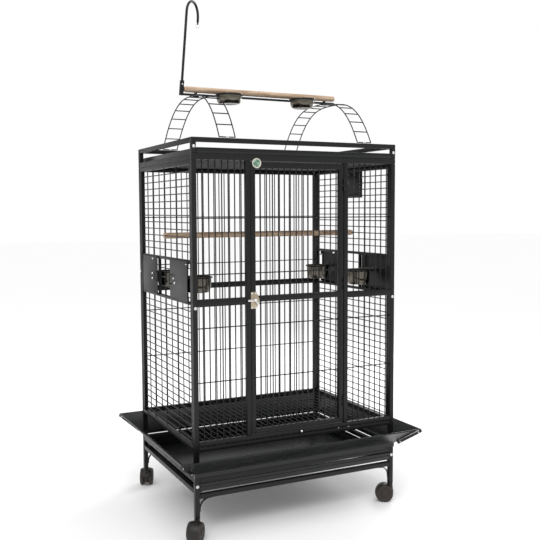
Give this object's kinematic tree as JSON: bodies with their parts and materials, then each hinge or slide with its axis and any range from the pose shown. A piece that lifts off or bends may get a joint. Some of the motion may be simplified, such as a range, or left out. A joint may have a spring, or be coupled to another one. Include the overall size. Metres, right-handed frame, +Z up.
{
  "type": "bird cage on stand",
  "caption": "Rectangular wire bird cage on a wheeled stand, with a play top, hinged front door, swing-out feeder cups, pull-out trays and sloping seed guards.",
  "frame": {"origin": "on the floor under the middle of the cage", "axes": "+X right along the front, +Y to the back, +Z up"},
  "size_m": [1.0854, 0.8484, 2.136],
  "materials": {
    "black_powder_coat": "satin black powder coat with a fine texture",
    "gloss_black_sheet": "smooth semi-gloss black powder coat",
    "stainless_steel": "polished, slightly brushed",
    "plated_steel": "bright zinc plate",
    "natural_wood": "bare, mottled",
    "caster_tread": "matt, brownish black",
    "caster_body": "matt black",
    "badge": "plain round badge, gloss"
  },
  "bodies": {
    "cage": {"back_panel": "black_powder_coat", "base_front_rail": "black_powder_coat", "front_panel_left": "black_powder_coat", "front_panel_right": "black_powder_coat", "ladder_left": "black_powder_coat", "ladder_right": "black_powder_coat", "left_panel_center": "black_powder_coat", "left_panel_lower": "black_powder_coat", "left_panel_upper": "black_powder_coat", "perch": "natural_wood", "playtop_bar": "black_powder_coat", "playtop_frame": "black_powder_coat", "playtop_perch": "natural_wood", "post_back_left": "black_powder_coat", "post_back_right": "black_powder_coat", "post_front_left": "black_powder_coat", "post_front_right": "black_powder_coat", "right_panel_center": "black_powder_coat", "right_panel_lower": "black_powder_coat", "right_panel_upper": "black_powder_coat", "roof_frame": "black_powder_coat", "seed_guard_back": "gloss_black_sheet", "seed_guard_front": "gloss_black_sheet", "seed_guard_left": "gloss_black_sheet", "seed_guard_right": "gloss_black_sheet", "stand_back_rail": "black_powder_coat", "stand_back_upper_rail": "black_powder_coat", "stand_front_rail": "black_powder_coat", "stand_front_upper_rail": "black_powder_coat", "stand_left_frame": "black_powder_coat", "stand_right_frame": "black_powder_coat"},
    "door": {"door_panel": "black_powder_coat", "latch_plate": "plated_steel", "badge": "badge"},
    "latch": {"latch_lever": "plated_steel"},
    "floor_grate": {"floor_grate": "black_powder_coat"},
    "waste_tray": {"waste_tray": "gloss_black_sheet"},
    "playtop_tray": {"playtop_tray": "gloss_black_sheet"},
    "nest_door": {"nest_door": "gloss_black_sheet"},
    "toy_hook": {"toy_hook": "black_powder_coat"},
    "hook_ring": {"hook_ring": "plated_steel"},
    "playtop_cup_left": {"playtop_cup_left": "stainless_steel"},
    "playtop_cup_right": {"playtop_cup_right": "stainless_steel"},
    "feeder_door_front_left": {"feeder_door_front_left": "gloss_black_sheet"},
    "feeder_cup_front_left": {"feeder_cup_front_left": "stainless_steel"},
    "caster_front_left": {"caster_front_left": "caster_body"},
    "wheels_front_left": {"wheels_front_left": "caster_tread"},
    "feeder_door_front_right": {"feeder_door_front_right": "gloss_black_sheet"},
    "feeder_cup_front_right": {"feeder_cup_front_right": "stainless_steel"},
    "caster_front_right": {"caster_front_right": "caster_body"},
    "wheels_front_right": {"wheels_front_right": "caster_tread"},
    "feeder_door_back_left": {"feeder_door_back_left": "gloss_black_sheet"},
    "feeder_cup_back_left": {"feeder_cup_back_left": "stainless_steel"},
    "caster_back_left": {"caster_back_left": "caster_body"},
    "wheels_back_left": {"wheels_back_left": "caster_tread"},
    "feeder_door_back_right": {"feeder_door_back_right": "gloss_black_sheet"},
    "feeder_cup_back_right": {"feeder_cup_back_right": "stainless_steel"},
    "caster_back_right": {"caster_back_right": "caster_body"},
    "wheels_back_right": {"wheels_back_right": "caster_tread"}
  },
  "joints": [
    {"name": "door_hinge", "type": "hinge", "parent": "cage", "child": "door", "pos_m": [0.2045, -0.3425, 0.916], "axis": [0, 0, 1], "range_deg": [0, 120]},
    {"name": "latch_turn", "type": "hinge", "parent": "door", "child": "latch", "pos_m": [-0.2005, -0.3421, 0.914], "axis": [0, 1, 0], "range_deg": [0, 90]},
    {"name": "floor_grate_slide", "type": "slide", "parent": "cage", "child": "floor_grate", "axis": [0, -1, 0], "range_m": [0, 0.6]},
    {"name": "waste_tray_slide", "type": "slide", "parent": "cage", "child": "waste_tray", "axis": [0, -1, 0], "range_m": [0, 0.6]},
    {"name": "playtop_tray_slide", "type": "slide", "parent": "cage", "child": "playtop_tray", "axis": [0, -1, 0], "range_m": [0, 0.6]},
    {"name": "nest_door_hinge", "type": "hinge", "parent": "cage", "child": "nest_door", "pos_m": [0.4585, 0.1225, 1.3865], "axis": [0, 0, 1], "range_deg": [0, 110]},
    {"name": "feeder_door_front_left_hinge", "type": "hinge", "parent": "cage", "child": "feeder_door_front_left", "pos_m": [-0.4585, -0.2925, 0.9895], "axis": [0, 0, 1], "range_deg": [0, 100]},
    {"name": "feeder_cup_front_left_lift", "type": "slide", "parent": "feeder_door_front_left", "child": "feeder_cup_front_left", "axis": [0, 0, 1], "range_m": [0, 0.1]},
    {"name": "feeder_door_front_right_hinge", "type": "hinge", "parent": "cage", "child": "feeder_door_front_right", "pos_m": [0.4585, -0.2925, 0.9895], "axis": [0, 0, -1], "range_deg": [0, 100]},
    {"name": "feeder_cup_front_right_lift", "type": "slide", "parent": "feeder_door_front_right", "child": "feeder_cup_front_right", "axis": [0, 0, 1], "range_m": [0, 0.1]},
    {"name": "feeder_door_back_left_hinge", "type": "hinge", "parent": "cage", "child": "feeder_door_back_left", "pos_m": [-0.4585, 0.2925, 0.9895], "axis": [0, 0, -1], "range_deg": [0, 100]},
    {"name": "feeder_cup_back_left_lift", "type": "slide", "parent": "feeder_door_back_left", "child": "feeder_cup_back_left", "axis": [0, 0, 1], "range_m": [0, 0.1]},
    {"name": "feeder_door_back_right_hinge", "type": "hinge", "parent": "cage", "child": "feeder_door_back_right", "pos_m": [0.4585, 0.2925, 0.9895], "axis": [0, 0, 1], "range_deg": [0, 100]},
    {"name": "feeder_cup_back_right_lift", "type": "slide", "parent": "feeder_door_back_right", "child": "feeder_cup_back_right", "axis": [0, 0, 1], "range_m": [0, 0.1]},
    {"name": "playtop_cup_left_lift", "type": "slide", "parent": "cage", "child": "playtop_cup_left", "axis": [0, 0, 1], "range_m": [0, 0.12]},
    {"name": "playtop_cup_right_lift", "type": "slide", "parent": "cage", "child": "playtop_cup_right", "axis": [0, 0, 1], "range_m": [0, 0.12]},
    {"name": "toy_hook_turn", "type": "hinge", "parent": "cage", "child": "toy_hook", "pos_m": [-0.3725, 0, 1.7387], "axis": [0.0837, 0, 0.9965], "continuous": true},
    {"name": "hook_ring_swing", "type": "hinge", "parent": "toy_hook", "child": "hook_ring", "pos_m": [-0.26695, 0.07654, 2.05188], "axis": [0.6935, -0.7181, -0.0582], "range_deg": [-80, 80]},
    {"name": "caster_front_left_swivel", "type": "hinge", "parent": "cage", "child": "caster_front_left", "pos_m": [-0.4475, -0.329, 0.078], "axis": [0, 0, 1], "continuous": true},
    {"name": "wheels_front_left_spin", "type": "hinge", "parent": "caster_front_left", "child": "wheels_front_left", "pos_m": [-0.46194, -0.34817, 0.037], "axis": [-0.7986, 0.6018, 0], "continuous": true},
    {"name": "caster_back_left_swivel", "type": "hinge", "parent": "cage", "child": "caster_back_left", "pos_m": [-0.4475, 0.329, 0.078], "axis": [0, 0, 1], "continuous": true},
    {"name": "wheels_back_left_spin", "type": "hinge", "parent": "caster_back_left", "child": "wheels_back_left", "pos_m": [-0.43789, 0.35099, 0.037], "axis": [0.9164, -0.4003, 0], "continuous": true},
    {"name": "caster_front_right_swivel", "type": "hinge", "parent": "cage", "child": "caster_front_right", "pos_m": [0.4475, -0.329, 0.078], "axis": [0, 0, 1], "continuous": true},
    {"name": "wheels_front_right_spin", "type": "hinge", "parent": "caster_front_right", "child": "wheels_front_right", "pos_m": [0.42715, -0.31628, 0.037], "axis": [0.5299, 0.848, 0], "continuous": true},
    {"name": "caster_back_right_swivel", "type": "hinge", "parent": "cage", "child": "caster_back_right", "pos_m": [0.4475, 0.329, 0.078], "axis": [0, 0, 1], "continuous": true},
    {"name": "wheels_back_right_spin", "type": "hinge", "parent": "caster_back_right", "child": "wheels_back_right", "pos_m": [0.4355, 0.34978, 0.037], "axis": [0.866, 0.5, 0], "continuous": true}
  ]
}
